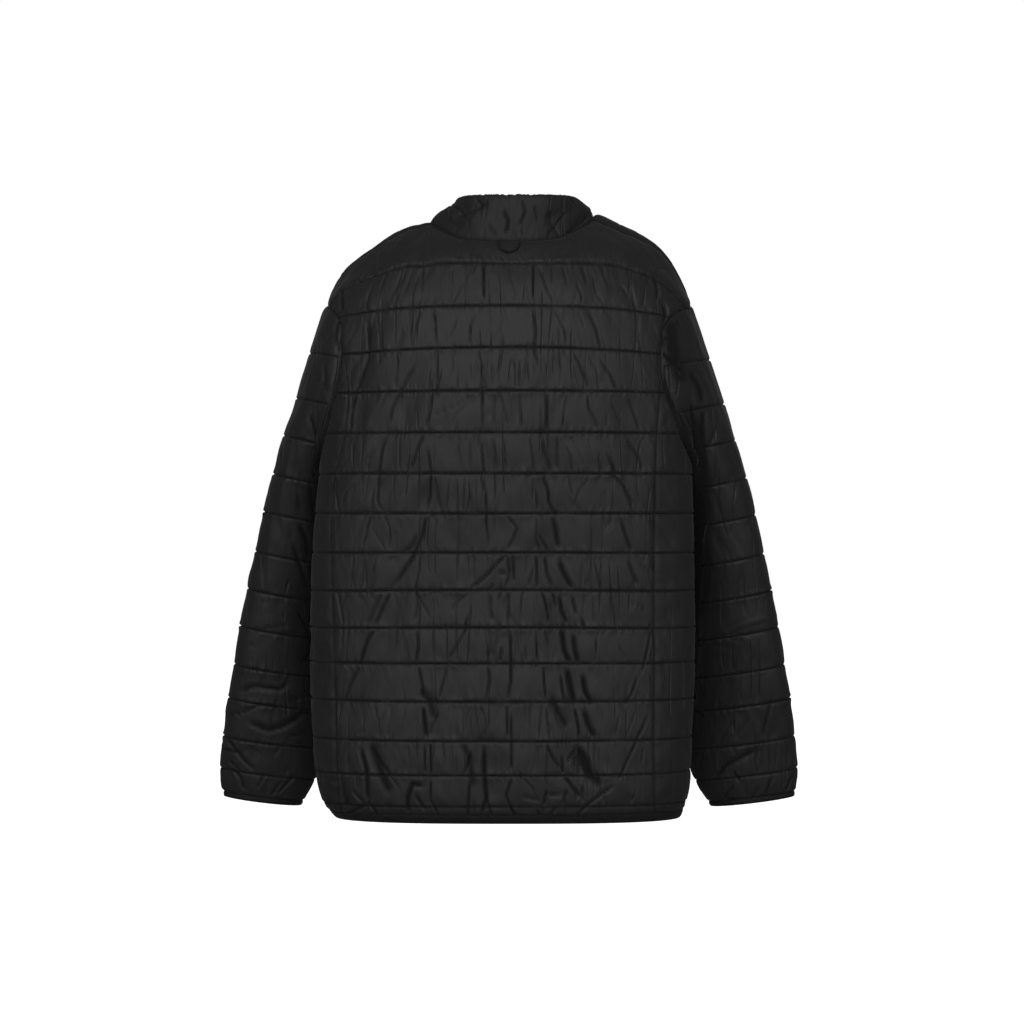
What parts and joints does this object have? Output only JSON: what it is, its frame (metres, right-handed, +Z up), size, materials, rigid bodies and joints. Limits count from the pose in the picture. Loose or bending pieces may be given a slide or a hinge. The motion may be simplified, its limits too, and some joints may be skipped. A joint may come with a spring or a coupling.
{
  "type": "quilted liner jacket",
  "caption": "Black horizontally quilted liner jacket with a stand collar, long sleeves, a lapped front and narrow bindings, hollow on a general figure.",
  "frame": {"origin": "middle of the neck, level with the back neck seam, where a wearer or a hanger holds the jacket", "axes": "+Z up the jacket, +Y out of its front, +X towards the wearer's right"},
  "size_m": [0.7384, 0.2547, 0.7671],
  "materials": {
    "shell": "satin quilted nylon over thin padding",
    "binding": "matt stretch binding",
    "stud": "satin"
  },
  "bodies": {
    "root": {"back": "shell", "front_left": "shell", "front_right": "shell", "sleeve_left": "shell", "sleeve_right": "shell", "collar": "shell", "neck_tape": "binding", "hang_loop": "binding", "hem_binding": "binding", "cuff_binding_left": "binding", "cuff_binding_right": "binding", "stud_collar": "stud", "stud_1": "stud", "stud_2": "stud", "stud_3": "stud", "stud_4": "stud", "stud_5": "stud", "stud_6": "stud"}
  },
  "joints": []
}
